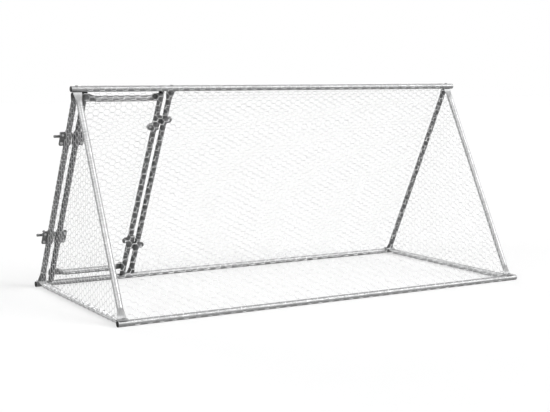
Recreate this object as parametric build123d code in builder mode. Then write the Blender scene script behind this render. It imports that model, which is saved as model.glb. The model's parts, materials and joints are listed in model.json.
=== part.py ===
from build123d import *

import os
from math import atan2, ceil, cos, degrees, hypot, pi, sin, sqrt, tan

os.makedirs("parts", exist_ok=True)

# Chicken cage: a ridge tent of galvanised tube and wire netting, with a tube-framed door in the rear slope.
# Millimetres. +X runs along the ridge, -Y is the front, +Z is up. The origin is on the ground below the ridge.

# Frame, axis to axis
run_length = 2000.0
rail_spacing = 958.0
ridge_rise = 888.0
left_leg_inset = 26.0
right_leg_inset = 38.5

# Tube, and the spigot that joins two halves of a long member
tube_od = 25.0
tube_wall = 1.0
spigot_length = 40.0
spigot_collar = 3.0

# Flattened tube ends
tongue_reach = 12.0
tongue_flat = 22.0
tongue_corner = 8.0
flare_length = 30.0
flare_side_angle = 50.0
flare_seam = 0.3
ridge_bend_inset = 11.0
ridge_tongue_reach = 7.5
foot_bend_inset = 14.0
foot_tongue_reach = 14.5
bend_radius = 3.0
bend_riser = 10.0

# Door, between stile axes, and the clear gaps round it
door_width = 349.5
door_gap = 16.4
door_end_gap = 6.0
door_top_rail_inset = 31.5
door_bottom_rail_inset = 38.5

# Plastic end plugs
cap_flange = 2.0
cap_edge_round = 1.2
cap_plug_wall = 1.6
cap_flange_undersize = 0.2

# Bolts, nuts and blind rivet nuts
bolt_d = 6.0
bolt_head_across = 10.0
bolt_head_height = 4.0
round_head_d = 13.0
round_head_height = 3.0
round_head_edge = 2.6
nut_height = 5.0
bolt_overrun = 2.0
rivet_nut_d = 9.0
rivet_nut_bulge_d = 11.0
rivet_nut_length = 14.0
rivet_nut_bulge_length = 4.0

# Pressed clamps round the tubes
shell_wall = 2.0
shell_split = 1.0

# Hinges
hinge_pin_d = 8.0
hinge_pin_head = 2.0
hinge_pin_head_d = 12.0
hinge_eye_wall = 2.2
hinge_eye_flat = 0.6
hinge_pitch = 33.0
hinge_end_gap = 0.5
hinge_ear_centre = 20.0
hinge_ear_radius = 15.5
upper_hinge_inset = 157.0
lower_hinge_inset = 175.0

# Latches
latch_height = 66.0
latch_ear_reach = 34.0
latch_lip_reach = 18.5
latch_corner = 7.0
latch_bolt_spacing = 40.0
latch_bolt_inset = 24.0
latch_rib = 11.0
upper_latch_inset = 222.0
lower_latch_inset = 242.0
rod_d = 12.0
rod_length = 77.5
rod_chamfer = 1.0
rod_rise = 21.2
barrel_wall = 2.2
guide_left = 26.0
guide_right = 17.0
keeper_length = 31.0
rod_tip_gap = 1.5
rod_back_travel = 3.0
rod_shot_travel = 20.0
handle_d = 5.0
handle_seat = 4.0
handle_lift = 20.0
knob_d = 11.0
knob_height = 9.0
knob_round = 2.5
handle_slot_from_guide = 12.9

# Netting
net_thickness = 1.4
net_strand = 2.4
net_border = 5.0
slope_mesh = 98.0
end_mesh = 44.0
door_mesh = 38.0
net_least_gap = 60.0

# Clearances
lap_gap = 0.05
hole_gap = 0.4
plug_gap = 0.05
plug_bolt_gap = 1.5
thread_gap = 0.05
grip_gap = 0.05
pin_running_gap = 0.08
rod_running_gap = 0.1
keeper_gap = 0.5
handle_gap = 0.4
net_lap_gap = 0.05
net_side_gap = 1.6

# Sizes that follow
tube_r = tube_od / 2
tube_id = tube_od - 2 * tube_wall
tongue_thickness = 2 * tube_wall
tongue_width = pi * (tube_od - tube_wall) / 2
lap_rise = lap_gap + tongue_thickness
half_spacing = rail_spacing / 2
rail_z = tube_r
ridge_z = rail_z + ridge_rise
left_leg_x = -run_length / 2 + left_leg_inset
right_leg_x = run_length / 2 - right_leg_inset
bolt_hole_r = (bolt_d + hole_gap) / 2
cap_plug_length = min(left_leg_inset, right_leg_inset) - cap_flange - rivet_nut_bulge_d / 2 - plug_bolt_gap

# Height of a tongue's middle off a tube's axis, with the tongue next to the tube or with one more between
first_lap = tube_r + lap_gap + tongue_thickness / 2
second_lap = first_lap + lap_rise

# Legs: the axis runs from the bend under the ridge to the bend on the rail
bend_run = half_spacing - foot_bend_inset - ridge_bend_inset
bend_drop = ridge_rise - first_lap - second_lap
leg_pitch = atan2(bend_drop, bend_run)
leg_out = ridge_bend_inset * sin(leg_pitch) - first_lap * cos(leg_pitch)

# Slope of the nets, from ridge axis to rail axis
slope_length = hypot(half_spacing, ridge_rise)
net_pitch = atan2(ridge_rise, half_spacing)

# Door layout along the run, and down the slope from the ridge axis
tube_pitch = tube_od + door_gap
latch_stile_x = left_leg_x + tube_pitch
hinge_stile_x = latch_stile_x + door_width
door_post_x = hinge_stile_x + tube_pitch
stile_top = tube_r + door_end_gap
stile_bottom = slope_length - tube_r - door_end_gap
door_rail_tops = (stile_top + door_top_rail_inset, stile_bottom - door_bottom_rail_inset)
hinge_levels = {"upper": stile_top + upper_hinge_inset, "lower": stile_bottom - lower_hinge_inset}
latch_levels = {"upper": stile_top + upper_latch_inset, "lower": stile_bottom - lower_latch_inset}

shell_inner_r = tube_r + grip_gap
shell_outer_r = shell_inner_r + shell_wall
ear_face = shell_split / 2 + shell_wall

# The pin stands outside the tubes' axes, so that the open door clears the flattened end of the post
hinge_eye_r = hinge_pin_d / 2 + pin_running_gap + hinge_eye_wall
hinge_pin_out = shell_split / 2 + hinge_eye_r - hinge_eye_flat


def slope_frame(side, x, down=0.0, out=0.0):
    """Frame on a leg slope, side 1 rear or -1 front: local x along the run, y down the slope, z outward."""
    slope = Plane(
        origin=(0, 0, ridge_z),
        x_dir=(side, 0, 0),
        z_dir=(0, side * sin(leg_pitch), cos(leg_pitch)),
    )
    return Plane(
        origin=slope.from_local_coords((side * x, down, leg_out + out)),
        x_dir=slope.x_dir,
        z_dir=slope.z_dir,
    )


def section_plane(frame, along):
    """Plane across a member whose axis is the frame's y: local x is the frame's x, local y its z."""
    return Plane(
        origin=frame.from_local_coords((0, along, 0)),
        x_dir=frame.x_dir,
        z_dir=-frame.y_dir,
    )


def write(node, label):
    node.part.label = label
    export_step(node.part, f"parts/{label}.step")


# Tube members


def round_section(plane, radius):
    """Circle as four arcs, two short ones at the sides that become the edges of a tongue."""
    side_arc = flare_side_angle
    with BuildSketch(plane) as section:
        with BuildLine():
            CenterArc((0, 0), radius, -side_arc / 2, side_arc)
            CenterArc((0, 0), radius, side_arc / 2, 180 - side_arc)
            CenterArc((0, 0), radius, 180 - side_arc / 2, side_arc)
            CenterArc((0, 0), radius, 180 + side_arc / 2, 180 - side_arc)
        make_face()
    return section.sketch


def flat_section(plane, width, thickness, rise):
    with BuildSketch(plane) as section:
        with Locations((0, rise)):
            Rectangle(width, thickness)
    return section.sketch


def flare(frame, flat_at, round_at, rise):
    """The stretch where a round tube closes to a flat tongue, hollow as far as the tongue."""
    flat_plane = section_plane(frame, flat_at)
    round_plane = section_plane(frame, round_at)
    tongue = flat_section(flat_plane, tongue_width, tongue_thickness, rise)
    loft([tongue, round_section(round_plane, tube_r)])
    seam = flat_section(flat_plane, tongue_width - 2 * tube_wall, flare_seam, rise)
    loft([seam, round_section(round_plane, tube_id / 2)], mode=Mode.SUBTRACT)


def straight_tube(frame, start, end):
    with BuildSketch(section_plane(frame, start)) as ring:
        Circle(tube_r)
        Circle(tube_id / 2, mode=Mode.SUBTRACT)
    extrude(ring.sketch, amount=start - end)


def lapped_end(frame, bolt_at, towards):
    """Tongue flush with the outer side of the tube, its bolt hole, and the flare back to the round tube."""
    flat_end = bolt_at + towards * tongue_flat
    free_end = bolt_at - towards * tongue_reach
    with BuildSketch(frame.offset(tube_r - tongue_thickness)) as tongue:
        with Locations((0, (flat_end + free_end) / 2)):
            Rectangle(tongue_width, tongue_flat + tongue_reach)
        free_corners = tongue.vertices().sort_by(Axis.Y, reverse=towards < 0)[:2]
        fillet(free_corners, tongue_corner)
        with Locations((0, bolt_at)):
            Circle(bolt_hole_r, mode=Mode.SUBTRACT)
    extrude(tongue.sketch, amount=tongue_thickness)
    flare(frame, flat_end, flat_end + towards * flare_length, tube_r - tongue_thickness / 2)


def leg_along(height):
    """How far down a leg its axis comes to a height."""
    return (ridge_z - height + leg_out * cos(leg_pitch)) / sin(leg_pitch)


def bent_tongue(side, x, height, towards, bolt_y, end_y):
    """Flat end of a leg, bent level and holed for a bolt: towards is 1 at the foot and -1 under the ridge."""
    half = tongue_thickness / 2
    bend_y = leg_along(height) * cos(leg_pitch) + leg_out * sin(leg_pitch)
    riser_y = bend_y - towards * bend_riser * cos(leg_pitch)
    riser_z = height + towards * bend_riser * sin(leg_pitch)
    mitre = half * tan(leg_pitch / 2)
    with BuildSketch(Plane.YZ.offset(x - tongue_width / 2)) as strip:
        with BuildLine():
            faces = [
                FilletPolyline(
                    (side * (riser_y + face * half * sin(leg_pitch)), riser_z + face * half * cos(leg_pitch)),
                    (side * (bend_y + face * mitre), height + face * half),
                    (side * end_y, height + face * half),
                    radius=bend_radius if face == towards else bend_radius + tongue_thickness,
                )
                for face in (1, -1)
            ]
            Line(faces[0] @ 0, faces[1] @ 0)
            Line(faces[0] @ 1, faces[1] @ 1)
        make_face()
    extrude(strip.sketch, amount=tongue_width)
    with BuildSketch(Plane.XY.offset(height)) as hole:
        with Locations((x, side * bolt_y)):
            Circle(bolt_hole_r)
    extrude(hole.sketch, amount=half, both=True, mode=Mode.SUBTRACT)


def leg(side, x, top_lap, foot_lap):
    """Sloping tube with a flat top bent level under the ridge and a flat foot bent level on the rail."""
    frame = slope_frame(side, x)
    top_z = ridge_z - top_lap
    foot_z = rail_z + foot_lap
    top_flat = leg_along(top_z) + bend_riser
    foot_flat = leg_along(foot_z) - bend_riser
    with BuildPart() as member:
        straight_tube(frame, top_flat + flare_length, foot_flat - flare_length)
        flare(frame, top_flat, top_flat + flare_length, 0)
        flare(frame, foot_flat, foot_flat - flare_length, 0)
        bent_tongue(side, x, top_z, -1, 0, -ridge_tongue_reach)
        bent_tongue(side, x, foot_z, 1, half_spacing, half_spacing + foot_tongue_reach)
        fillet(member.edges().filter_by(Axis.Z), tongue_corner)
    return member


def flat_ended_tube(frame, bolt_spacing):
    """Straight tube along the frame's y with a lapped tongue at each end."""
    round_half = bolt_spacing / 2 - tongue_flat - flare_length
    with BuildPart() as member:
        lapped_end(frame, -bolt_spacing / 2, 1)
        straight_tube(frame, -round_half, round_half)
        lapped_end(frame, bolt_spacing / 2, -1)
    return member


def rivet_nut_hole(seat):
    """Hole for a rivet nut through the near wall of a tube, on a plane that touches the tube."""
    with BuildSketch(seat) as hole:
        Circle(rivet_nut_d / 2 + plug_gap)
    extrude(hole.sketch, amount=-tube_r, mode=Mode.SUBTRACT)


def rail_seat(side, x):
    return Plane.XY.offset(rail_z + tube_r).move(Location((x, side * half_spacing, 0)))


# Side, place, and laps at the ridge and the rail: front tops lie over rear tops, corner feet over cross tubes
leg_places = {
    "leg_front_left": (-1, left_leg_x, first_lap, second_lap),
    "leg_front_right": (-1, right_leg_x, first_lap, second_lap),
    "leg_rear_left": (1, left_leg_x, second_lap, second_lap),
    "leg_rear_right": (1, right_leg_x, second_lap, second_lap),
    "door_post": (1, door_post_x, first_lap, first_lap),
}

for name, (side, x, top_lap, foot_lap) in leg_places.items():
    write(leg(side, x, top_lap, foot_lap), name)

for name, x in (("cross_tube_left", left_leg_x), ("cross_tube_right", right_leg_x)):
    cross_frame = Plane(origin=(x, 0, rail_z + lap_rise))
    write(flat_ended_tube(cross_frame, rail_spacing), name)

# Ridge and ground rails, each in two halves that plug together at mid length
long_members = {
    "ridge": (0, 0, ridge_z),
    "front_rail": (-1, -half_spacing, rail_z),
    "rear_rail": (1, half_spacing, rail_z),
}
tube_end = run_length / 2 - cap_flange
spigot_r = tube_id / 2 - plug_gap
spigot_bore_r = spigot_r - tube_wall


# Each bolt through the ridge, by its place and the lap of the lowest tongue that it holds
ridge_bolts = {left_leg_x: second_lap, right_leg_x: second_lap, door_post_x: first_lap}


def bolt_holes(member_side):
    """Holes in a long member: through the ridge (member_side 0), or for rivet nuts in a rail (-1 or 1)."""
    if member_side == 0:
        with BuildSketch(Plane.XY.offset(ridge_z)) as holes:
            with Locations([(x, 0) for x in ridge_bolts]):
                Circle(bolt_hole_r)
        extrude(holes.sketch, amount=tube_r, both=True, mode=Mode.SUBTRACT)
    for side, x, top_lap, foot_lap in leg_places.values():
        if side == member_side:
            rivet_nut_hole(rail_seat(side, x))


for name, (member_side, y, z) in long_members.items():
    profile_plane = Plane(origin=(0, y, z), x_dir=(1, 0, 0), z_dir=(0, -1, 0))
    member_axis = Axis((0, y, z), (1, 0, 0))
    with BuildPart() as left_half:
        with BuildSketch(profile_plane):
            with Locations((-tube_end / 2, tube_r - tube_wall / 2)):
                Rectangle(tube_end, tube_wall)
        revolve(axis=member_axis)
        bolt_holes(member_side)
    write(left_half, f"{name}_left")
    with BuildPart() as right_half:
        with BuildSketch(profile_plane):
            with BuildLine():
                Polyline(
                    (-spigot_length, spigot_bore_r),
                    (-spigot_length, spigot_r),
                    (0, spigot_r),
                    (0, tube_r),
                    (tube_end, tube_r),
                    (tube_end, tube_id / 2),
                    (spigot_collar, tube_id / 2),
                    (spigot_collar, spigot_bore_r),
                    close=True,
                )
            make_face()
        revolve(axis=member_axis)
        bolt_holes(member_side)
    write(right_half, f"{name}_right")

# End plugs


def end_plug(mouth):
    """Plug in a tube mouth, on a plane at the tube's end with z pointing out of the tube."""
    plug_r = tube_id / 2 - plug_gap
    with BuildSketch(mouth) as disc:
        Circle(tube_r - cap_flange_undersize)
    flange = extrude(disc.sketch, amount=cap_flange)
    rim = flange.faces().sort_by(Axis(mouth.origin, mouth.z_dir))[-1]
    fillet(rim.edges(), cap_edge_round)
    with BuildSketch(mouth) as skirt:
        Circle(plug_r)
        Circle(plug_r - cap_plug_wall, mode=Mode.SUBTRACT)
    extrude(skirt.sketch, amount=-cap_plug_length)


with BuildPart() as rail_end_caps:
    for member_side, y, z in long_members.values():
        for end in (-1, 1):
            end_plug(Plane(origin=(end * tube_end, y, z), x_dir=(0, 1, 0), z_dir=(end, 0, 0)))
write(rail_end_caps, "rail_end_caps")

# Frame bolts and rivet nuts


def hex_bolt(seat, length):
    """Bolt with its head standing on the seat plane and its shank below it."""
    with BuildSketch(seat) as head:
        RegularPolygon(bolt_head_across / 2, 6, major_radius=False)
    extrude(head.sketch, amount=bolt_head_height)
    with BuildSketch(seat) as shank:
        Circle(bolt_d / 2)
    extrude(shank.sketch, amount=-length)


def round_bolt(seat, length):
    """Bolt with a low domed head standing on the seat plane and its shank below it."""
    with BuildSketch(seat) as head:
        Circle(round_head_d / 2)
    dome = extrude(head.sketch, amount=round_head_height)
    crown = dome.faces().sort_by(Axis(seat.origin, seat.z_dir))[-1]
    fillet(crown.edges(), round_head_edge)
    with BuildSketch(seat) as shank:
        Circle(bolt_d / 2)
    extrude(shank.sketch, amount=-length)


def hex_nut(seat):
    with BuildSketch(seat) as hexagon:
        RegularPolygon(bolt_head_across / 2, 6, major_radius=False)
        Circle(bolt_d / 2 + thread_gap, mode=Mode.SUBTRACT)
    extrude(hexagon.sketch, amount=nut_height)


def rivet_nut(seat):
    """Blind nut set in a tube wall, flush outside and bulged behind the wall."""
    bore_r = bolt_d / 2 + thread_gap
    behind = seat.offset(-tube_r + sqrt((tube_id / 2) ** 2 - (rivet_nut_bulge_d / 2) ** 2) - plug_gap)
    with BuildSketch(seat.offset(-lap_gap - tube_wall / 2)) as sleeve:
        Circle(rivet_nut_d / 2)
        Circle(bore_r, mode=Mode.SUBTRACT)
    extrude(sleeve.sketch, amount=-rivet_nut_length)
    with BuildSketch(behind) as bulge:
        Circle(rivet_nut_bulge_d / 2)
        Circle(bore_r, mode=Mode.SUBTRACT)
    extrude(bulge.sketch, amount=-rivet_nut_bulge_length)


with BuildPart() as frame_rivet_nuts:
    for side, x, top_lap, foot_lap in leg_places.values():
        rivet_nut(rail_seat(side, x))
write(frame_rivet_nuts, "frame_rivet_nuts")

with BuildPart() as frame_bolts:
    for side, x, top_lap, foot_lap in leg_places.values():
        foot_top = foot_lap + tongue_thickness / 2 - tube_r
        hex_bolt(rail_seat(side, x).offset(foot_top), foot_top + rivet_nut_length)
write(frame_bolts, "frame_bolts")

# Bolts down through the ridge and the tongues under it, with their nuts
with BuildPart() as ridge_through_bolts:
    for x, lap in ridge_bolts.items():
        crest = Plane(origin=(x, 0, ridge_z + tube_r + lap_gap))
        grip = tube_r + lap_gap + lap + tongue_thickness / 2
        round_bolt(crest, grip + nut_height + bolt_overrun)
write(ridge_through_bolts, "frame_ridge_bolts")

with BuildPart() as ridge_nuts:
    for x, lap in ridge_bolts.items():
        hex_nut(Plane(origin=(x, 0, ridge_z - lap - tongue_thickness / 2), x_dir=(1, 0, 0), z_dir=(0, 0, -1)))
write(ridge_nuts, "frame_ridge_nuts")

# Door frame
stile_places = {"door_stile_latch_side": latch_stile_x, "door_stile_hinge_side": hinge_stile_x}
door_rail_names = ("door_rail_top", "door_rail_bottom")
door_centre_x = (latch_stile_x + hinge_stile_x) / 2
stile_tube_top = stile_top + cap_flange
stile_tube_bottom = stile_bottom - cap_flange


def door_seat(x, down):
    """Where a door rail's tongue meets the outer side of a stile."""
    return slope_frame(1, x, down).offset(tube_r)


def across_slope(x, down, out):
    """Frame on the rear slope with its y along the run, for pieces that lie across the slope."""
    slope = slope_frame(1, x, down, out)
    return Plane(origin=slope.origin, x_dir=-slope.y_dir, z_dir=slope.z_dir)


for name, x in stile_places.items():
    with BuildPart() as stile:
        straight_tube(slope_frame(1, x), stile_tube_top, stile_tube_bottom)
        for down in door_rail_tops:
            rivet_nut_hole(door_seat(x, down))
    write(stile, name)

for name, down in zip(door_rail_names, door_rail_tops):
    write(flat_ended_tube(across_slope(door_centre_x, down, lap_rise), door_width), name)

with BuildPart() as door_end_caps:
    for x in stile_places.values():
        axis_frame = slope_frame(1, x)
        for down, outward in ((stile_tube_top, -1), (stile_tube_bottom, 1)):
            mouth_centre = axis_frame.from_local_coords((0, down, 0))
            end_plug(Plane(origin=mouth_centre, x_dir=axis_frame.x_dir, z_dir=axis_frame.y_dir * outward))
write(door_end_caps, "door_end_caps")

with BuildPart() as door_rivet_nuts:
    for x in stile_places.values():
        for down in door_rail_tops:
            rivet_nut(door_seat(x, down))
write(door_rivet_nuts, "door_rivet_nuts")

with BuildPart() as door_bolts:
    for x in stile_places.values():
        for down in door_rail_tops:
            hex_bolt(door_seat(x, down).offset(lap_rise), lap_rise + rivet_nut_length)
write(door_bolts, "door_bolts")

# Clamps: each is two half shells that meet round a tube, one on either face of the slope


def clamp_frame(x, down, face):
    """Frame on a tube axis with z towards the face that the shell covers."""
    axis_frame = slope_frame(1, x, down)
    return Plane(origin=axis_frame.origin, x_dir=axis_frame.x_dir, z_dir=axis_frame.z_dir * face)


def trim_to_face(frame, reach, height):
    """Cuts away what lies behind the split of the clamp, and the tube it grips."""
    with BuildSketch(frame.offset(shell_split / 2)) as behind:
        Rectangle(2 * reach, height)
    extrude(behind.sketch, amount=-reach, mode=Mode.SUBTRACT)
    with BuildSketch(section_plane(frame, 0)) as bore:
        Circle(shell_inner_r)
    extrude(bore.sketch, amount=height / 2, both=True, mode=Mode.SUBTRACT)


def hinge_shell(frame, pin_side):
    """Half of a hinge half: half ring round the tube, a web towards the pin, round ear with its bolt hole."""
    height = hinge_pitch - hinge_end_gap
    web_x = pin_side * tube_pitch / 4
    ear_x = -pin_side * hinge_ear_centre
    with BuildSketch(section_plane(frame, 0)) as ring:
        Circle(shell_outer_r)
        with Locations((web_x, 0)):
            Rectangle(tube_pitch / 2, 2 * ear_face)
    extrude(ring.sketch, amount=height / 2, both=True)
    with BuildSketch(frame) as ear:
        with Locations((ear_x, 0)):
            Circle(hinge_ear_radius)
        with Locations((ear_x / 2, 0)):
            Rectangle(hinge_ear_centre, 2 * hinge_ear_radius)
    extrude(ear.sketch, amount=ear_face)


def hinge_holes(frame, pin_side):
    trim_to_face(frame, hinge_ear_centre + tube_pitch, hinge_pitch - hinge_end_gap)
    with BuildSketch(frame) as hole:
        with Locations((-pin_side * hinge_ear_centre, 0)):
            Circle(bolt_hole_r)
    extrude(hole.sketch, amount=ear_face, mode=Mode.SUBTRACT)


def hinge_eye(frame, pin_side, radius, mode):
    """Cylinder about the pin, as the eye of an outer shell or as the bore through it."""
    with BuildSketch(section_plane(frame, 0)) as eye:
        with Locations((pin_side * tube_pitch / 2, hinge_pin_out)):
            Circle(radius)
    extrude(eye.sketch, amount=(hinge_pitch - hinge_end_gap) / 2, both=True, mode=mode)


def hinge_half_levels(level):
    """Centres of the post half and the door half: each hinge's post half lies towards its end of the door."""
    upward = -1 if level == "upper" else 1
    post_level = hinge_levels[level] + upward * hinge_pitch / 2
    return post_level, post_level - upward * hinge_pitch


for level in hinge_levels:
    post_down, door_down = hinge_half_levels(level)
    hinge_sides = {
        "post": (door_post_x, post_down, -1, grip_gap),
        "door": (hinge_stile_x, door_down, 1, pin_running_gap),
    }
    for part_name, (x, down, pin_side, bore_gap) in hinge_sides.items():
        inner_frame = clamp_frame(x, down, -1)
        with BuildPart() as inner_shell:
            hinge_shell(inner_frame, pin_side)
            hinge_holes(inner_frame, pin_side)
        write(inner_shell, f"hinge_{level}_{part_name}_inner")

        outer_frame = clamp_frame(x, down, 1)
        with BuildPart() as outer_shell:
            hinge_shell(outer_frame, pin_side)
            hinge_eye(outer_frame, pin_side, hinge_eye_r, Mode.ADD)
            hinge_holes(outer_frame, pin_side)
            hinge_eye(outer_frame, pin_side, hinge_pin_d / 2 + bore_gap, Mode.SUBTRACT)
        write(outer_shell, f"hinge_{level}_{part_name}_outer")

    # The pin's head lies against the post half, its plain end passes through the door half
    head_side = 1 if post_down > door_down else -1
    head_face = post_down + head_side * (hinge_pitch - hinge_end_gap) / 2
    pin_x = door_post_x - tube_pitch / 2
    pin_axis = slope_frame(1, pin_x, head_face, hinge_pin_out)
    head_plane = Plane(origin=pin_axis.origin, x_dir=pin_axis.x_dir, z_dir=pin_axis.y_dir * head_side)
    with BuildPart() as hinge_pin:
        with BuildSketch(head_plane):
            Circle(hinge_pin_head_d / 2)
        extrude(amount=hinge_pin_head)
        with BuildSketch(head_plane):
            Circle(hinge_pin_d / 2)
        extrude(amount=-2 * hinge_pitch)
    write(hinge_pin, f"hinge_pin_{level}")

# Latches
barrel_r = rod_d / 2 + keeper_gap + barrel_wall
keeper_face_x = latch_stile_x - keeper_length / 2
rod_tip_x = keeper_face_x - rod_tip_gap
handle_x = left_leg_x - guide_left + handle_slot_from_guide


def latch_shell(frame, ear_side):
    """Half of a latch clamp: half ring, a long two-bolt ear on one side and a short lip on the other."""
    ear_width = latch_ear_reach + latch_lip_reach
    ear_middle = ear_side * (latch_ear_reach - latch_lip_reach) / 2
    with BuildSketch(section_plane(frame, 0)) as ring:
        Circle(shell_outer_r)
    extrude(ring.sketch, amount=latch_height / 2, both=True)
    with BuildSketch(frame) as ear:
        with Locations((ear_middle, 0)):
            RectangleRounded(ear_width, latch_height, latch_corner)
    extrude(ear.sketch, amount=ear_face)


def latch_holes(frame, ear_side):
    trim_to_face(frame, latch_ear_reach + latch_lip_reach, latch_height)
    with BuildSketch(frame) as holes:
        with Locations((ear_side * latch_bolt_inset, 0)):
            with GridLocations(0, latch_bolt_spacing, 1, 2):
                Circle(bolt_hole_r)
    extrude(holes.sketch, amount=ear_face, mode=Mode.SUBTRACT)


def barrel_plane(x, down):
    """Plane across a rod at its axis height, with z along the run."""
    axis_frame = slope_frame(1, x, down, rod_rise)
    return Plane(origin=axis_frame.origin, x_dir=axis_frame.y_dir, z_dir=(1, 0, 0))


def barrel(x_from, x_to, down):
    """Round guide for a rod, with the rib that carries it on the shell."""
    start = barrel_plane(x_from, down)
    with BuildSketch(start) as guide:
        Circle(barrel_r)
        with Locations((0, -rod_rise / 2)):
            Rectangle(latch_rib, rod_rise)
    extrude(guide.sketch, amount=x_to - x_from)


def barrel_bore(x_from, x_to, down, gap):
    with BuildSketch(barrel_plane(x_from, down)) as bore:
        Circle(rod_d / 2 + gap)
    extrude(bore.sketch, amount=x_to - x_from, mode=Mode.SUBTRACT)


latch_sides = {"leg_clamp": (left_leg_x, -1), "keeper": (latch_stile_x, 1)}
barrel_spans = {
    "leg_clamp": (left_leg_x - guide_left, left_leg_x + guide_right),
    "keeper": (keeper_face_x, keeper_face_x + keeper_length),
}
bore_gaps = {"leg_clamp": rod_running_gap, "keeper": keeper_gap}

for level, down in latch_levels.items():
    for part_name, (x, ear_side) in latch_sides.items():
        inner_frame = clamp_frame(x, down, -1)
        with BuildPart() as inner_shell:
            latch_shell(inner_frame, ear_side)
            latch_holes(inner_frame, ear_side)
        write(inner_shell, f"latch_{level}_{part_name}_inner")

        outer_frame = clamp_frame(x, down, 1)
        span = barrel_spans[part_name]
        with BuildPart() as outer_shell:
            latch_shell(outer_frame, ear_side)
            barrel(span[0], span[1], down)
            latch_holes(outer_frame, ear_side)
            barrel_bore(span[0], span[1], down, bore_gaps[part_name])
            if part_name == "leg_clamp":
                slot_length = rod_back_travel + rod_shot_travel + handle_d + 2 * handle_gap
                slot_middle = handle_x + (rod_shot_travel - rod_back_travel) / 2
                with BuildSketch(slope_frame(1, slot_middle, down, rod_rise)):
                    SlotOverall(slot_length, handle_d + 2 * handle_gap)
                extrude(amount=barrel_r, mode=Mode.SUBTRACT)
        write(outer_shell, f"latch_{level}_{part_name}_outer")

    rod_start = barrel_plane(rod_tip_x - rod_length, down)
    handle_frame = slope_frame(1, handle_x, down, rod_rise)
    with BuildPart() as rod:
        with BuildSketch(rod_start):
            Circle(rod_d / 2)
        extrude(amount=rod_length)
        chamfer(rod.edges().filter_by(GeomType.CIRCLE), rod_chamfer)
        with BuildSketch(handle_frame):
            Circle(handle_d / 2 + thread_gap)
        extrude(amount=rod_d, mode=Mode.SUBTRACT)
        with BuildSketch(handle_frame):
            Circle(handle_d / 2 + thread_gap)
        extrude(amount=-handle_seat, mode=Mode.SUBTRACT)
    write(rod, f"latch_rod_{level}")

    with BuildPart() as handle:
        with BuildSketch(handle_frame.offset(-handle_seat)):
            Circle(handle_d / 2)
        extrude(amount=handle_seat + handle_lift)
        with BuildSketch(handle_frame.offset(handle_lift)):
            Circle(knob_d / 2)
        knob = extrude(amount=knob_height)
        fillet(knob.edges().filter_by(GeomType.CIRCLE), knob_round)
    write(handle, f"latch_handle_{level}")

# Ear bolts and nuts, heads on the inner face, one group on the frame and one on the door
frame_ears = []
door_ears = []
for level in hinge_levels:
    post_down, door_down = hinge_half_levels(level)
    frame_ears.append((door_post_x + hinge_ear_centre, post_down))
    door_ears.append((hinge_stile_x - hinge_ear_centre, door_down))
for down in latch_levels.values():
    for shift in (-latch_bolt_spacing / 2, latch_bolt_spacing / 2):
        frame_ears.append((left_leg_x - latch_bolt_inset, down + shift))
        door_ears.append((latch_stile_x + latch_bolt_inset, down + shift))

for body, ears in (("frame", frame_ears), ("door", door_ears)):
    with BuildPart() as ear_bolts:
        for x, down in ears:
            hex_bolt(clamp_frame(x, down, -1).offset(ear_face), 2 * ear_face + nut_height + bolt_overrun)
    write(ear_bolts, f"clamp_bolts_{body}")
    with BuildPart() as ear_nuts:
        for x, down in ears:
            hex_nut(clamp_frame(x, down, 1).offset(ear_face))
    write(ear_nuts, f"clamp_nuts_{body}")

# Netting


def kept_side(polygon, a, b):
    """Part of a polygon on the left of the line from a to b, shifted inward by the border."""
    length = hypot(b[0] - a[0], b[1] - a[1])
    along = ((b[0] - a[0]) / length, (b[1] - a[1]) / length)
    heights = [along[0] * (p[1] - a[1]) - along[1] * (p[0] - a[0]) - net_border for p in polygon]
    kept = []
    for i, point in enumerate(polygon):
        before, height = heights[i - 1], heights[i]
        if before * height < 0:
            share = before / (before - height)
            last = polygon[i - 1]
            kept.append((last[0] + share * (point[0] - last[0]), last[1] + share * (point[1] - last[1])))
        if height >= 0:
            kept.append(point)
    return kept


def polygon_area(polygon):
    doubled = sum(polygon[i - 1][0] * p[1] - p[0] * polygon[i - 1][1] for i, p in enumerate(polygon))
    return doubled / 2


def net_gaps(outline, mesh):
    """Hexagonal gaps with two sides along local x, cut off at the border of a convex outline."""
    gap_r = (mesh - net_strand) / sqrt(3)
    column_step = mesh * sqrt(3) / 2
    low = [min(p[axis] for p in outline) for axis in (0, 1)]
    high = [max(p[axis] for p in outline) for axis in (0, 1)]
    gaps = []
    for column in range(ceil((high[0] - low[0]) / column_step) + 1):
        for row in range(ceil((high[1] - low[1]) / mesh) + 2):
            centre_x = low[0] + column * column_step
            centre_y = low[1] + (row - column % 2 / 2) * mesh
            gap = [
                (centre_x + gap_r * cos(corner * pi / 3), centre_y + gap_r * sin(corner * pi / 3))
                for corner in range(6)
            ]
            for i, point in enumerate(outline):
                gap = kept_side(gap, outline[i - 1], point)
            if len(gap) > 2 and polygon_area(gap) > net_least_gap:
                gaps.append(gap)
    return gaps


def net(plane, outline, mesh):
    """Netting as one holed sheet on the plane, with its outline given counter-clockwise."""
    gaps = net_gaps(outline, mesh)
    print("gaps in net:", len(gaps))
    sheet = Face(
        Wire.make_polygon([(x, y, 0) for x, y in outline]),
        [Wire.make_polygon([(x, y, 0) for x, y in gap]) for gap in gaps],
    )
    with BuildPart() as netting:
        with BuildSketch(plane):
            add(sheet)
        extrude(amount=net_thickness)
    return netting


def rectangle_outline(low_x, low_y, high_x, high_y):
    return [(low_x, low_y), (high_x, low_y), (high_x, high_y), (low_x, high_y)]


def slope_net_plane(side):
    """Plane that touches the ridge and a rail on the outside, local y down the slope."""
    outward = (0, side * sin(net_pitch), cos(net_pitch))
    ridge_plane = Plane(origin=(0, 0, ridge_z), x_dir=(side, 0, 0), z_dir=outward)
    return ridge_plane.offset(tube_r + net_lap_gap)


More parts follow.
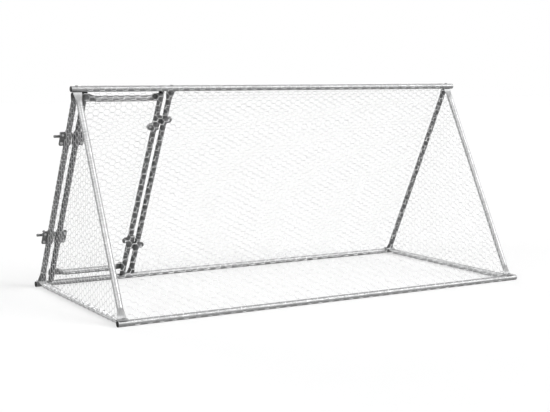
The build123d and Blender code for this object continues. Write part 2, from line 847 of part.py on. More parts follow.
beside_tongue = tongue_width / 2 + net_side_gap
front_outline = rectangle_outline(-right_leg_x + beside_tongue, 0, -left_leg_x - beside_tongue, slope_length)
write(net(slope_net_plane(-1), front_outline, slope_mesh), "front_net")
rear_outline = rectangle_outline(door_post_x + beside_tongue, 0, right_leg_x - beside_tongue, slope_length)
write(net(slope_net_plane(1), rear_outline, slope_mesh), "rear_net")

door_net_plane = slope_frame(1, 0).offset(lap_rise + tube_r + net_lap_gap)
beside_clamp = shell_outer_r + net_side_gap
door_outline = rectangle_outline(
    latch_stile_x + beside_clamp, door_rail_tops[0], hinge_stile_x - beside_clamp, door_rail_tops[1]
)
write(net(door_net_plane, door_outline, door_mesh), "door_net")

# End nets lie on the cross tube and the legs, clear of the flattened ends and, at the left, of the latches
cross_round_half = half_spacing - tongue_flat - flare_length
leg_round_top = leg_along(ridge_z - second_lap) + bend_riser + flare_length
leg_round_foot = leg_along(rail_z + second_lap) - bend_riser - flare_length


def leg_point(side, along, inside):
    """Point in an end plane, as y and z: a distance down a leg and a distance inside its axis."""
    out = leg_out - inside
    return (
        side * (along * cos(leg_pitch) + out * sin(leg_pitch)),
        ridge_z - along * sin(leg_pitch) + out * cos(leg_pitch),
    )


def end_outline(rear_inside):
    cross_z = rail_z + lap_rise
    return [
        (-cross_round_half, cross_z),
        (cross_round_half, cross_z),
        leg_point(1, leg_round_foot, rear_inside),
        leg_point(1, leg_round_top, rear_inside),
        leg_point(-1, leg_round_top, 0),
        leg_point(-1, leg_round_foot, 0),
    ]


left_net_plane = Plane.YZ.offset(left_leg_x - tube_r - net_lap_gap - net_thickness)
write(net(left_net_plane, end_outline(beside_clamp), end_mesh), "left_end_net")
right_net_plane = Plane.YZ.offset(right_leg_x + tube_r + net_lap_gap)
write(net(right_net_plane, end_outline(0), end_mesh), "right_end_net")

# Door hinge axis, for the joint: a point on it and its direction down the slope
hinge_axis = slope_frame(1, door_post_x - tube_pitch / 2, hinge_levels["upper"], hinge_pin_out)
print("hinge axis point:", hinge_axis.origin, "direction:", hinge_axis.y_dir)
print("leg pitch in degrees:", degrees(leg_pitch))
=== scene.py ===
import json
from math import acos, atan2, ceil, cos, hypot, pi, radians, sin, sqrt

import bpy
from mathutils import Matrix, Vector


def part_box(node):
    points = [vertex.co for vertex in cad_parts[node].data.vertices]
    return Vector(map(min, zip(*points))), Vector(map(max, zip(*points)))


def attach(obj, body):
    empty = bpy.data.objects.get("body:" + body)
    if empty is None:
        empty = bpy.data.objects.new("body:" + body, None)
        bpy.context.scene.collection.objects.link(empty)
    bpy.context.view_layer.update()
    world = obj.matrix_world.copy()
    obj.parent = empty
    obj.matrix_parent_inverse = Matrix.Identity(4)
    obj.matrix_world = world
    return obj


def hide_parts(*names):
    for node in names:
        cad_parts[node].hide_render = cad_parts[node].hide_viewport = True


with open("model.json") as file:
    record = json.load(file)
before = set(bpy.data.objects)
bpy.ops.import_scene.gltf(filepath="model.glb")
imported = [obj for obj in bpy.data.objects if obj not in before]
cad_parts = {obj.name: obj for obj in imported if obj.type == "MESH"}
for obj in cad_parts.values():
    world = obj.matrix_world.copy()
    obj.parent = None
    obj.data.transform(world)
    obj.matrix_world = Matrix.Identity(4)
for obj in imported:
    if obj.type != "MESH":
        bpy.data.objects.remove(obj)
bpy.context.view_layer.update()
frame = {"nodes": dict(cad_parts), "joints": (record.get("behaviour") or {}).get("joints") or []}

# Chicken cage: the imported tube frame, door and latches dressed in their metals, with full hexagonal netting.
# Metres. +X runs along the ridge, -Y is the front, +Z is up.

# Netting
wire_r = 0.0008
wire_sides = 3
wire_lean = 0.3
mesh_across = 0.030
mesh_period = 0.0515
sides_to_period = 3
twist_steps = 5
rows_round_tube = 4
rows_to_crest = 1

# Slack of the netting: how far it stands off, and two waves by radians per metre
slack = 0.0025
long_wave_u = 9
long_wave_v = 4
short_wave_u = 17
short_wave_v = 13
short_wave_start = 1.3
short_wave_share = 0.7

# Wire ends turned round tubes
tie_steps = 13
tie_turn = radians(335)
tie_pitch = 0.004
tie_clearance = 0.004

# Tubes pressed flat at their ends: how far from the crossing tube's axis or the bolt they are round again
flared_top = 0.060
flared_foot = 0.062
flared_cross = 0.052
flared_rail = 0.054

# Gaps between the nets' edges and what they pass
tongue_gap = 0.0204
latch_gap = 0.016
door_corner = 0.03

# Camera, as the photograph was taken
frame_width_px = 550
camera_focal_px = 1144.9
camera_sensor = 36.0
camera_azimuth = radians(-30.319)
camera_elevation = radians(3.398)
camera_place = Vector((-2.6557, -4.5004, 0.9688))
camera_shift_y = -0.1191

# Light: the share of a plain light level that each softbox gives square on, and where it stands
softbox_width = radians(40)
right_level = 1.0
right_stands = Vector((0.580, -0.612, 0.560))
front_level = 0.20
front_stands = Vector((-0.234, -0.406, 0.883))
left_level = 0.55
left_stands = Vector((-0.836, -0.224, 0.5))
rear_level = 0.75
rear_stands = Vector((0.0, 0.978, 0.208))

# Sky and floor, as they light the object and as they are seen
white_level = 1.0
dome_zenith = 0.03
dome_horizon = 0.0
floor_size = 60.0
floor_bounce = 0.02
floor_shade = 0.45
floor_fill = 0.485

# Greys, and the stretch of a noise that most of it lies in
green_tint = 1.005
blue_tint = 1.01
noise_low = 0.3
noise_high = 0.7

# Zinc coat of the tubes
crystal_scale = 95
cloud_scale = 14
streak_scale = 1.0
streak_stretch = (6, 260, 260)
crystal_share = 0.5
streak_share = 0.4
coat_low = 0.32
coat_middle = 0.5
coat_high = 0.68
coat_dark = 0.78
coat_bright = 1.2
coat_rough = 0.48
coat_smooth = 0.32
coat_specular = 0.3
streak_bump = 0.12
streak_depth = 0.0004
scuff_roughness = 0.6
scuff_fade = 0.008

# Netting wire
wire_patch_scale = 60
wire_patch_low = 0.35
wire_patch_high = 0.65
wire_dark = 0.55
wire_light = 0.65
wire_rough = 0.5
wire_smooth = 0.35

# Plated steel
plating_grain_scale = 1400
plating_grain_share = 0.35
plating_low = 0.34
plating_high = 0.66
plating_bump = 0.15

# Plug plastic
plastic_patch_scale = 120
plastic_grain_scale = 2200
plastic_dark = 0.006
plastic_light = 0.014
plastic_rough = 0.55
plastic_smooth = 0.42
plastic_bump = 0.2
plastic_specular = 0.04

# Fine noise of streaks, plating and plastic
grain_detail = 2.0
grain_depth = 0.0002


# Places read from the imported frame


def middle(node, axis):
    low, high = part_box(node)
    return (low[axis] + high[axis]) / 2


X, Y, Z = range(3)
run = Vector((1, 0, 0))
crosswise = Vector((0, 1, 0))
upward = Vector((0, 0, 1))
tube_r = (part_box("ridge_left")[1].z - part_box("ridge_left")[0].z) / 2
ridge = Vector((0, 0, middle("ridge_left", Z)))
front_rail = Vector((0, middle("front_rail_left", Y), middle("front_rail_left", Z)))
rear_rail = Vector((0, middle("rear_rail_left", Y), middle("rear_rail_left", Z)))
left_leg_x = middle("cross_tube_left", X)
right_leg_x = middle("cross_tube_right", X)
post_x = middle("door_post", X)
latch_stile_x = middle("door_stile_latch_side", X)
hinge_stile_x = middle("door_stile_hinge_side", X)
cross_z = middle("cross_tube_left", Z)
door_swing = next(joint for joint in frame["joints"] if joint["name"] == "door_swing")
down_rear = Vector(door_swing["axis"]).normalized()
down_front = Vector((0, -down_rear.y, down_rear.z))
slope_length = (rear_rail - ridge).length
round_to_y = rear_rail.y - flared_cross
round_to_z = ridge.z + flared_top * down_rear.z
round_from_z = ridge.z + (slope_length - flared_foot) * down_rear.z


# Wire meshes


class Wires:
    """Collects bent wires and turns them into one mesh."""

    def __init__(self):
        self.verts = []
        self.faces = []

    def add(self, points, across):
        """A wire through the points. across is a direction that the wire never runs along."""
        first = len(self.verts)
        count = len(points)
        for i, point in enumerate(points):
            along = (points[min(i + 1, count - 1)] - points[max(i - 1, 0)]).normalized()
            side = along.cross(across).normalized()
            up = side.cross(along)
            for corner in range(wire_sides):
                turn = 2 * pi * corner / wire_sides
                self.verts.append(point + wire_r * (cos(turn) * up + sin(turn) * side))
        for i in range(count - 1):
            ring = first + i * wire_sides
            for corner in range(wire_sides):
                beside = (corner + 1) % wire_sides
                self.faces.append(
                    (ring + corner, ring + beside, ring + wire_sides + beside, ring + wire_sides + corner)
                )
        last = first + (count - 1) * wire_sides
        self.faces.append(tuple(first + corner for corner in reversed(range(wire_sides))))
        self.faces.append(tuple(last + corner for corner in range(wire_sides)))

    def tie(self, start, centre, along, towards_net, outward):
        """A wire end turned round a tube: from the net at start over the outside and back underneath."""
        radius = tube_r + wire_r
        reach = start - centre
        inward, rise = reach.dot(towards_net), reach.dot(outward)
        touch = atan2(rise, inward) + acos(radius / max(hypot(inward, rise), radius))
        points = []
        for step in range(tie_steps):
            share = step / (tie_steps - 1)
            turn = touch + tie_turn * share
            point = centre + radius * (cos(turn) * towards_net + sin(turn) * outward)
            point += along * tie_pitch * share
            point.z = max(point.z, wire_r)
            points.append(point)
        if (start - points[0]).length > wire_r:
            points.insert(0, start)
        self.add(points, along)

    def tie_side(self, cut_ends, axis_top, down, towards_net, outward, taken):
        """Ties a net's cut ends round a sloping tube, but for stretches (from, to) that are taken."""
        for start in cut_ends:
            v = down.dot(start - axis_top)
            if all(v < low - tie_clearance or v > high + tie_clearance for low, high in taken):
                self.tie(start, axis_top + v * down, down, towards_net, outward)

    def piece(self, name, body, node):
        """Makes the wires one piece of the scene, which rides a body in place of a CAD net."""
        mesh = bpy.data.meshes.new(name)
        mesh.from_pydata(self.verts, [], self.faces)
        mesh.polygons.foreach_set("use_smooth", [True] * len(mesh.polygons))
        made = bpy.data.objects.new(name, mesh)
        bpy.context.scene.collection.objects.link(made)
        made.data.materials.append(netting)
        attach(made, body)
        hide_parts(node)


class Lattice:
    """Hexagonal netting laid out flat: u along its twists from 0 to width, v across them from 0 to height."""

    def __init__(self, width, height):
        self.width = width
        self.height = height
        self.periods = round(width / mesh_period - 0.5) + 0.5
        self.rows = 2 * round(height / mesh_across)
        self.period = width / self.periods
        self.row = height / self.rows

    def wire(self, index):
        """Points (u, v, rise) of one wire, which twists in turn with the wires on either side of it."""
        side = self.period / sides_to_period
        points = []
        for half in range(-1, ceil(2 * self.periods) + 2):
            row = index + (index + half) % 2
            start = half * self.period / 2
            sign = 1 if row == index else -1
            for step in range(twist_steps + 1):
                turn = 2 * pi * step / twist_steps
                u = start + side * step / twist_steps
                v = row * self.row + sign * wire_r * cos(turn)
                points.append((u, v, sign * wire_r * sin(turn)))
        return points


def clip(points, low, high):
    """The stretch of a wire between two limits of u, cut square at each. Limits are functions of v."""
    kept = []
    for before, after in zip(points, points[1:]):
        ends = []
        for limit, inside in ((low, 1), (high, -1)):
            a = inside * (before[0] - limit(before[1]))
            b = inside * (after[0] - limit(after[1]))
            ends.append((a, b))
        start, end = 0.0, 1.0
        for a, b in ends:
            if a < 0 and b < 0:
                start, end = 1.0, 0.0
            elif a < 0:
                start = max(start, a / (a - b))
            elif b < 0:
                end = min(end, a / (a - b))
        if start >= end:
            continue
        cut = [tuple(p + t * (q - p) for p, q in zip(before, after)) for t in (start, end)]
        if not kept:
            kept.append(cut[0])
        kept.append(cut[1])
    return kept


def bulge(u, v, width, height):
    """How far slack netting stands off its plane, nothing at its edges."""
    held = sin(pi * min(max(u / width, 0), 1)) * sin(pi * min(max(v / height, 0), 1))
    long_wave = sin(long_wave_u * u + long_wave_v * v)
    short_wave = sin(short_wave_u * u - short_wave_v * v + short_wave_start)
    return slack * sqrt(held) * (long_wave + short_wave_share * short_wave)


class SlopeNet:
    """Netting on a slope between two level tubes: its twists run along them, its edges go round them."""

    def __init__(self, top_corner, along, down, outward, width, height):
        self.top_corner = top_corner
        self.along = along
        self.down = down
        self.outward = outward
        self.lattice = Lattice(width, height)
        self.wrap_r = tube_r + wire_r

    def place(self, u, v, rise):
        """Point of the net. v goes down the slope from the top tube, and past either tube round it."""
        lattice = self.lattice
        axis_v = min(max(v, 0), lattice.height)
        turn = (v - axis_v) / self.wrap_r
        lift = self.wrap_r + rise + bulge(u, axis_v, lattice.width, lattice.height)
        point = self.top_corner + u * self.along + axis_v * self.down
        point += lift * (cos(turn) * self.outward + sin(turn) * self.down)
        point.z = max(point.z, wire_r)
        return point

    def lay(self, wires, rows_over, rows_under, wrap_inset=0.0):
        """Adds the wires, with rows of mesh wrapped over the top tube and under the bottom one."""
        lattice = self.lattice
        width, height = lattice.width, lattice.height
        across = self.outward + wire_lean * self.down

        def start(v):
            return 0.0 if 0 <= v <= height else wrap_inset

        def end(v):
            return width - start(v)

        for index in range(-rows_over, lattice.rows + rows_under):
            flat = clip(lattice.wire(index), start, end)
            wires.add([self.place(*point) for point in flat], across)
        for v in (-rows_over * lattice.row, height + rows_under * lattice.row):
            steps = ceil(width / lattice.period)
            ends = start(v), end(v)
            line = [ends[0] + (ends[1] - ends[0]) * i / steps for i in range(steps + 1)]
            wires.add([self.place(u, v, 0) for u in line], across)

    def left_ends(self):
        """Where pairs of wires meet and are cut, on the side the net starts from."""
        lattice = self.lattice
        return [self.place(0, row * lattice.row, 0) for row in range(0, lattice.rows + 1, 2)]

    def right_ends(self):
        """Where pairs of wires meet and are cut, on the other side."""
        lattice = self.lattice
        return [self.place(lattice.width, row * lattice.row, 0) for row in range(1, lattice.rows, 2)]


def edge_ties(wires, corner, along, lattice, towards_net, outward):
    """Ties along a selvage, one at each twist, round a tube whose axis lies under the selvage."""
    places = int(lattice.periods) + 1
    half_twist = 1 / (2 * sides_to_period)
    for i in range(places):
        centre = corner + (i + half_twist) * lattice.period * along
        wires.tie(centre + (tube_r + wire_r) * outward, centre, along, towards_net, outward)


# Materials


def new_material(name):
    material = bpy.data.materials.new(name)
    material.use_nodes = True
    return material, material.node_tree, material.node_tree.nodes["Principled BSDF"]


def mapped(tree, turn=(0, 0, 0), stretch=(1, 1, 1)):
    """Object coordinates, turned and then stretched."""
    places = tree.nodes.new("ShaderNodeTexCoord")
    turned = tree.nodes.new("ShaderNodeMapping")
    turned.inputs["Rotation"].default_value = turn
    tree.links.new(places.outputs["Object"], turned.inputs["Vector"])
    stretched = tree.nodes.new("ShaderNodeMapping")
    stretched.inputs["Scale"].default_value = stretch
    tree.links.new(turned.outputs["Vector"], stretched.inputs["Vector"])
    return stretched.outputs["Vector"]


def noise(tree, vector, scale, detail=3.0):
    node = tree.nodes.new("ShaderNodeTexNoise")
    node.inputs["Scale"].default_value = scale
    node.inputs["Detail"].default_value = detail
    tree.links.new(vector, node.inputs["Vector"])
    return node.outputs["Fac"]


def cells(tree, vector, scale):
    """A different grey for each crystal of a spangled coat."""
    node = tree.nodes.new("ShaderNodeTexVoronoi")
    node.inputs["Scale"].default_value = scale
    tree.links.new(vector, node.inputs["Vector"])
    level = tree.nodes.new("ShaderNodeRGBToBW")
    tree.links.new(node.outputs["Color"], level.inputs["Color"])
    return level.outputs["Val"]


def blend(tree, share, first, second):
    """Mixes two values or sockets by a share."""
    node = tree.nodes.new("ShaderNodeMix")
    for socket, value in (("Factor", share), ("A", first), ("B", second)):
        if isinstance(value, (int, float)):
            node.inputs[socket].default_value = value
        else:
            tree.links.new(value, node.inputs[socket])
    return node.outputs["Result"]


def ramp(tree, value, *stops):
    """Colour or grey by a value, with stops of (place, colour)."""
    node = tree.nodes.new("ShaderNodeValToRGB")
    elements = node.color_ramp.elements
    while len(elements) < len(stops):
        elements.new(0.5)
    for element, (place, colour) in zip(elements, stops):
        element.position = place
        element.color = (*colour, 1)
    tree.links.new(value, node.inputs["Fac"])
    return node.outputs["Color"]


def spread(tree, value, low, high):
    """A noise spread over the range from low to high."""
    node = tree.nodes.new("ShaderNodeMapRange")
    node.inputs["From Min"].default_value = noise_low
    node.inputs["From Max"].default_value = noise_high
    node.inputs["To Min"].default_value = low
    node.inputs["To Max"].default_value = high
    tree.links.new(value, node.inputs["Value"])
    return node.outputs["Result"]


def bump(tree, shader, height, strength, distance):
    node = tree.nodes.new("ShaderNodeBump")
    node.inputs["Strength"].default_value = strength
    node.inputs["Distance"].default_value = distance
    tree.links.new(height, node.inputs["Height"])
    tree.links.new(node.outputs["Normal"], shader.inputs["Normal"])


def grey(level):
    return (level, level * green_tint, level * blue_tint)


def pressed_ends(tree, vector, axis, low, high):
    """0 where a tube is round, from low to high along an axis, and 1 where its ends are pressed flat."""
    parts = tree.nodes.new("ShaderNodeSeparateXYZ")
    tree.links.new(vector, parts.inputs[0])
    ends = []
    for round_at, flat_at in ((low + scuff_fade, low), (high - scuff_fade, high)):
        node = tree.nodes.new("ShaderNodeMapRange")
        node.inputs["From Min"].default_value = round_at
        node.inputs["From Max"].default_value = flat_at
        tree.links.new(parts.outputs[axis], node.inputs["Value"])
        ends.append(node.outputs["Result"])
    either = tree.nodes.new("ShaderNodeMath")
    either.operation = "MAXIMUM"
    tree.links.new(ends[0], either.inputs[0])
    tree.links.new(ends[1], either.inputs[1])
    return either.outputs[0]


def galvanised(name, turn, metallic, tone, round_part=None):
    """Drawn tube with a satin zinc coat: crystals, cloudy patches, and streaks along the tube."""
    material, tree, shader = new_material(name)
    plain = mapped(tree)
    drawn = mapped(tree, turn, streak_stretch)
    crystals = cells(tree, plain, crystal_scale)
    clouds = noise(tree, plain, cloud_scale)
    streaks = noise(tree, drawn, streak_scale, grain_detail)
    coat = blend(tree, streak_share, blend(tree, crystal_share, clouds, crystals), streaks)
    dark = (coat_low, grey(coat_dark * tone))
    plain_tone = (coat_middle, grey(tone))
    bright = (coat_high, grey(coat_bright * tone))
    colour = ramp(tree, coat, dark, plain_tone, bright)
    tree.links.new(colour, shader.inputs["Base Color"])
    roughness = spread(tree, coat, coat_rough, coat_smooth)
    if round_part:
        roughness = blend(tree, pressed_ends(tree, plain, *round_part), roughness, scuff_roughness)
    tree.links.new(roughness, shader.inputs["Roughness"])
    bump(tree, shader, streaks, streak_bump, streak_depth)
    shader.inputs["Metallic"].default_value = metallic
    shader.inputs["Specular IOR Level"].default_value = coat_specular
    return material


def netting_wire():
    """Zinc-coated wire, paler and smoother in patches."""
    material, tree, shader = new_material("netting_wire")
    patches = noise(tree, mapped(tree), wire_patch_scale)
    colour = ramp(tree, patches, (wire_patch_low, grey(wire_dark)), (wire_patch_high, grey(wire_light)))
    tree.links.new(colour, shader.inputs["Base Color"])
    tree.links.new(spread(tree, patches, wire_rough, wire_smooth), shader.inputs["Roughness"])
    shader.inputs["Metallic"].default_value = 1.0
    return material


def plated(name, dark, light, metallic, rough, smooth, scale):
    """Plated or passivated steel with a mottled coat and a fine grain."""
    material, tree, shader = new_material(name)
    plain = mapped(tree)
    patches = noise(tree, plain, scale)
    grain = noise(tree, plain, plating_grain_scale, grain_detail)
    coat = blend(tree, plating_grain_share, patches, grain)
    colour = ramp(tree, coat, (plating_low, grey(dark)), (plating_high, grey(light)))
    tree.links.new(colour, shader.inputs["Base Color"])
    tree.links.new(spread(tree, patches, rough, smooth), shader.inputs["Roughness"])
    bump(tree, shader, grain, plating_bump, grain_depth)
    shader.inputs["Metallic"].default_value = metallic
    return material


def moulded_plastic():
    """Black plastic with a fine moulded grain."""
    material, tree, shader = new_material("plug_plastic")
    plain = mapped(tree)
    patches = noise(tree, plain, plastic_patch_scale)
    grain = noise(tree, plain, plastic_grain_scale, grain_detail)
    colour = ramp(tree, patches, (noise_low, grey(plastic_dark)), (noise_high, grey(plastic_light)))
    tree.links.new(colour, shader.inputs["Base Color"])
    tree.links.new(spread(tree, patches, plastic_rough, plastic_smooth), shader.inputs["Roughness"])
    bump(tree, shader, grain, plastic_bump, grain_depth)
    shader.inputs["Specular IOR Level"].default_value = plastic_specular
    return material


def turned_to(direction):
    """Rotation that brings a tube's direction onto local x."""
    return direction.rotation_difference(run).to_euler()


across_round = ("Y", -round_to_y, round_to_y)
leg_round = ("Z", round_from_z, round_to_z)
tube_along_run = galvanised("tube_along_run", turned_to(run), metallic=0.42, tone=0.31)
tube_across = galvanised(
    "tube_across", turned_to(crosswise), metallic=0.6, tone=0.46, round_part=across_round
)
# Rear legs, door post and door stiles: a darker, duller coat than the other tubes, which is painted shade; on
# the real cage they are the same zinc as the rest.
tube_down_rear_painted_shade = galvanised("tube_down_rear_painted_shade", turned_to(down_rear), metallic=0.12, tone=0.18)
tube_down_front = galvanised(
    "tube_down_front", turned_to(down_front), metallic=0.6, tone=0.33, round_part=leg_round
)
clamp_steel = plated("clamp_steel", dark=0.14, light=0.26, metallic=0.15, rough=0.6, smooth=0.45, scale=90)
rod_steel = plated("rod_steel", dark=0.14, light=0.24, metallic=0.5, rough=0.45, smooth=0.3, scale=140)
fastener_zinc = plated("fastener_zinc", dark=0.16, light=0.3, metallic=0.5, rough=0.5, smooth=0.35, scale=200)
bright_zinc = plated("bright_zinc", dark=0.45, light=0.62, metallic=0.6, rough=0.45, smooth=0.3, scale=200)
plug_plastic = moulded_plastic()
netting = netting_wire()

finishes = {
    "ridge_": tube_along_run,
    "front_rail_": tube_along_run,
    "rear_rail_": tube_along_run,
    "door_rail_": tube_along_run,
    "cross_tube_": tube_across,
    "leg_front_": tube_down_front,
    "leg_rear_": tube_down_rear_painted_shade,
    "door_post": tube_down_rear_painted_shade,
    "door_stile_": tube_down_rear_painted_shade,
    "hinge_pin_": rod_steel,
    "hinge_": clamp_steel,
    "latch_rod_": rod_steel,
    "latch_handle_": clamp_steel,
    "latch_": clamp_steel,
    "rail_end_caps": plug_plastic,
    "door_end_caps": plug_plastic,
    "frame_": fastener_zinc,
    "door_bolts": fastener_zinc,
    "door_rivet_nuts": fastener_zinc,
    "clamp_": bright_zinc,
}

for node_name, node in frame["nodes"].items():
    finish = next((finishes[start] for start in finishes if node_name.startswith(start)), netting)
    node.data.materials.clear()
    node.data.materials.append(finish)


# Nets


def down_the_slope(node):
    """Where a node begins and ends, measured down the rear slope from the ridge axis."""
    reach = [down_rear.dot(v.co - ridge) for v in frame["nodes"][node].data.vertices]
    return min(reach), max(reach)


def stands_out(node):
    """How far a node reaches out from the ridge axis, square to the rear slope."""
    return max(out_rear.dot(v.co - ridge) for v in frame["nodes"][node].data.vertices)


out_rear = Vector((0, -down_rear.z, down_rear.y))
out_front = Vector((0, down_rear.z, down_rear.y))
down_net = {1: (rear_rail - ridge).normalized(), -1: (front_rail - ridge).normalized()}
out_net = {side: Vector((0, -side * down_net[side].z, side * down_net[side].y)) for side in (1, -1)}
above_ridge = -1
below_ground = 2
flattened = [(above_ridge, flared_top), (slope_length - flared_foot, below_ground)]
leg_out = stands_out("door_stile_latch_side") - tube_r
door_rail_out = stands_out("door_rail_top") - tube_r


def leg_axis(side, x, v):
    """Point on a leg's axis, a distance down the slope from the ridge axis."""
    down, outward = (down_rear, out_rear) if side > 0 else (down_front, out_front)
    return ridge + x * run + v * down + leg_out * outward


def slope_net(name, node, side, left_x, right_x, rows_over, taken):
    """A net from ridge to rail between two legs, wrapped round the rail and tied to the legs."""
    wires = Wires()
    corner = ridge + (left_x + tongue_gap) * run
    width = right_x - left_x - 2 * tongue_gap
    net = SlopeNet(corner, run, down_net[side], out_net[side], width, slope_length)
    net.lay(wires, rows_over, rows_round_tube)
    if not rows_over:
        edge_ties(wires, corner, run, net.lattice, down_net[side], out_net[side])
    down, outward = (down_rear, out_rear) if side > 0 else (down_front, out_front)
    wires.tie_side(net.left_ends(), leg_axis(side, left_x, 0), down, run, outward, taken + flattened)
    wires.tie_side(net.right_ends(), leg_axis(side, right_x, 0), down, -run, outward, flattened)
    wires.piece(name, "frame", node)


post_clamps = [down_the_slope(f"hinge_{level}_post_outer") for level in ("upper", "lower")]
slope_net("front_netting", "front_net", -1, left_leg_x, right_leg_x, rows_to_crest, [])
slope_net("rear_netting", "rear_net", 1, post_x, right_leg_x, 0, post_clamps)


def door_net():
    """The door's own net, wrapped round its rails and tied to its stiles."""
    wires = Wires()
    low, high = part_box("door_net")
    top, bottom = down_the_slope("door_net")
    corner = ridge + low.x * run + top * down_rear + door_rail_out * out_rear
    net = SlopeNet(corner, run, down_rear, out_rear, high.x - low.x, bottom - top)
    net.lay(wires, rows_round_tube, rows_round_tube, latch_stile_x + flared_rail - low.x)
    clamps = [down_the_slope(f"hinge_{level}_door_outer") for level in ("upper", "lower")]
    keepers = [down_the_slope(f"latch_{level}_keeper_outer") for level in ("upper", "lower")]
    corners = [(above_ridge, top + door_corner), (bottom - door_corner, below_ground)]
    latch_axis = leg_axis(1, latch_stile_x, 0)
    hinge_axis = leg_axis(1, hinge_stile_x, 0)
    wires.tie_side(net.left_ends(), latch_axis, down_rear, run, out_rear, keepers + corners)
    wires.tie_side(net.right_ends(), hinge_axis, down_rear, -run, out_rear, clamps + corners)
    wires.piece("door_netting", "door", "door_net")


door_net()


def end_net(name, node, leg_x, outward, rear_gap, taken):
    """A net across one end, on the cross tube and the two legs, cut along the legs."""
    wires = Wires()
    low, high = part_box(node)
    width, height = high.y - low.y, high.z - cross_z
    lattice = Lattice(width, height)
    x = leg_x + outward.x * (tube_r + 2 * wire_r)
    corner = Vector((x, low.y, cross_z))

    def leg_y(side, v):
        """Where a leg's axis crosses the height v above the cross tube."""
        down = (ridge.z - cross_z - v) / -down_rear.z
        return leg_axis(side, leg_x, down).y

    def place(u, v, rise):
        return corner + u * crosswise + v * upward + (rise + bulge(u, v, width, height)) * outward

    def front(v):
        return max(leg_y(-1, v) - low.y, 0)

    def rear(v):
        return min(leg_y(1, v) - rear_gap - low.y, width)

    front_ends = []
    rear_ends = []
    for index in range(lattice.rows):
        laid = [place(*point) for point in clip(lattice.wire(index), front, rear)]
        if len(laid) > 1:
            wires.add(laid, outward)
            front_ends.append(laid[0])
            rear_ends.append(laid[-1])
    steps = ceil(width / lattice.period)
    wires.add([place(width * i / steps, 0, 0) for i in range(steps + 1)], outward)
    cross_axis = Vector((leg_x, low.y, cross_z))
    edge_ties(wires, cross_axis, crosswise, lattice, upward, outward)
    front_axis = leg_axis(-1, leg_x, 0)
    rear_axis = leg_axis(1, leg_x, 0)
    wires.tie_side(front_ends[1::2], front_axis, down_front, -out_front, outward, flattened)
    wires.tie_side(rear_ends[1::2], rear_axis, down_rear, -out_rear, outward, taken + flattened)
    wires.piece(name, "frame", node)


leg_clamps = [down_the_slope(f"latch_{level}_leg_clamp_outer") for level in ("upper", "lower")]
end_net("left_end_netting", "left_end_net", left_leg_x, -run, latch_gap, leg_clamps)
end_net("right_end_netting", "right_end_net", right_leg_x, run, 0.0, [])


# Stage, light and camera


def seen_directly(tree):
    """1 for rays from the camera and for those that mirror or pass through, 0 for rays of plain light."""
    path = tree.nodes.new("ShaderNodeLightPath")
    seen = path.outputs["Is Camera Ray"]
    for name in ("Is Glossy Ray", "Is Transmission Ray"):
        either = tree.nodes.new("ShaderNodeMath")
        either.operation = "MAXIMUM"
        tree.links.new(seen, either.inputs[0])
        tree.links.new(path.outputs[name], either.inputs[1])
        seen = either.outputs[0]
    return seen


def floor():
    """White floor that keeps the shadow, and sends little light back up at the object."""
    mesh = bpy.data.meshes.new("floor")
    half = floor_size / 2
    corners = [(-half, -half, 0), (half, -half, 0), (half, half, 0), (-half, half, 0)]
    mesh.from_pydata(corners, [], [(0, 1, 2, 3)])
    made = bpy.data.objects.new("floor", mesh)
    bpy.context.scene.collection.objects.link(made)
    material = bpy.data.materials.new("floor_white")
    material.use_nodes = True
    tree = material.node_tree
    tree.nodes.clear()
    dark = tree.nodes.new("ShaderNodeBsdfDiffuse")
    dark.inputs["Color"].default_value = (floor_bounce, floor_bounce, floor_bounce, 1)
    white = tree.nodes.new("ShaderNodeBsdfDiffuse")
    white.inputs["Color"].default_value = (floor_shade, floor_shade, floor_shade, 1)
    fill = tree.nodes.new("ShaderNodeEmission")
    fill.inputs["Strength"].default_value = floor_fill
    lit = tree.nodes.new("ShaderNodeAddShader")
    tree.links.new(white.outputs[0], lit.inputs[0])
    tree.links.new(fill.outputs[0], lit.inputs[1])
    either = tree.nodes.new("ShaderNodeMixShader")
    tree.links.new(seen_directly(tree), either.inputs["Fac"])
    tree.links.new(dark.outputs[0], either.inputs[1])
    tree.links.new(lit.outputs[0], either.inputs[2])
    out = tree.nodes.new("ShaderNodeOutputMaterial")
    tree.links.new(either.outputs[0], out.inputs["Surface"])
    made.data.materials.append(material)


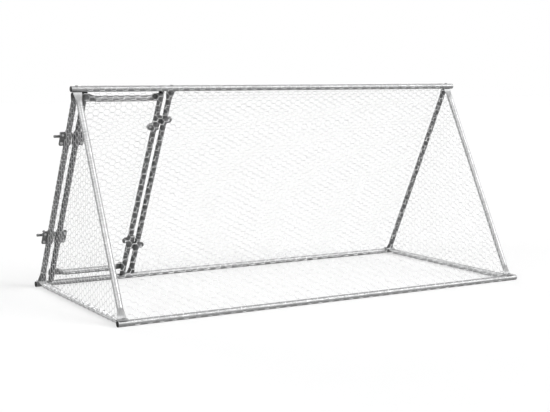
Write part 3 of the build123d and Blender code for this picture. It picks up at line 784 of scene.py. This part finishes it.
def sky():
    """White all round where it is seen, and a soft dome, brightest overhead, where it lights the object."""
    world = bpy.data.worlds.new("studio")
    world.use_nodes = True
    tree = world.node_tree
    tree.nodes.clear()
    places = tree.nodes.new("ShaderNodeTexCoord")
    parts = tree.nodes.new("ShaderNodeSeparateXYZ")
    tree.links.new(places.outputs["Generated"], parts.inputs[0])
    height = tree.nodes.new("ShaderNodeMapRange")
    height.inputs["To Min"].default_value = dome_horizon
    height.inputs["To Max"].default_value = dome_zenith
    tree.links.new(parts.outputs["Z"], height.inputs["Value"])
    dome = tree.nodes.new("ShaderNodeBackground")
    tree.links.new(height.outputs["Result"], dome.inputs["Strength"])
    white = tree.nodes.new("ShaderNodeBackground")
    white.inputs["Strength"].default_value = white_level
    for light in (dome, white):
        light.inputs["Color"].default_value = (1, 1, 1, 1)
    either = tree.nodes.new("ShaderNodeMixShader")
    tree.links.new(seen_directly(tree), either.inputs["Fac"])
    tree.links.new(dome.outputs[0], either.inputs[1])
    tree.links.new(white.outputs[0], either.inputs[2])
    out = tree.nodes.new("ShaderNodeOutputWorld")
    tree.links.new(either.outputs[0], out.inputs["Surface"])
    bpy.context.scene.world = world


def softbox(name, level, stands):
    """Broad soft lamp, far off. A white sheet square to it shows that level of white."""
    lamp = bpy.data.lights.new(name, "SUN")
    lamp.energy = level * pi
    lamp.angle = softbox_width
    made = bpy.data.objects.new(name, lamp)
    made.rotation_mode = "QUATERNION"
    made.rotation_quaternion = (-stands).to_track_quat("-Z", "Y")
    bpy.context.scene.collection.objects.link(made)


def camera():
    """The photograph's camera, with its vertical shift."""
    lens = bpy.data.cameras.new("camera")
    lens.sensor_width = camera_sensor
    lens.lens = camera_focal_px / frame_width_px * camera_sensor
    lens.shift_y = camera_shift_y
    made = bpy.data.objects.new("camera", lens)
    back = Vector((
        sin(camera_azimuth) * cos(camera_elevation),
        -cos(camera_azimuth) * cos(camera_elevation),
        sin(camera_elevation),
    ))
    made.location = camera_place
    made.rotation_mode = "QUATERNION"
    made.rotation_quaternion = (-back).to_track_quat("-Z", "Y")
    bpy.context.scene.collection.objects.link(made)
    bpy.context.scene.camera = made


floor()
sky()
softbox("softbox_right", right_level, right_stands)
softbox("softbox_front", front_level, front_stands)
softbox("softbox_left", left_level, left_stands)
softbox("softbox_rear", rear_level, rear_stands)
camera()
bpy.context.scene.view_settings.view_transform = "Standard"
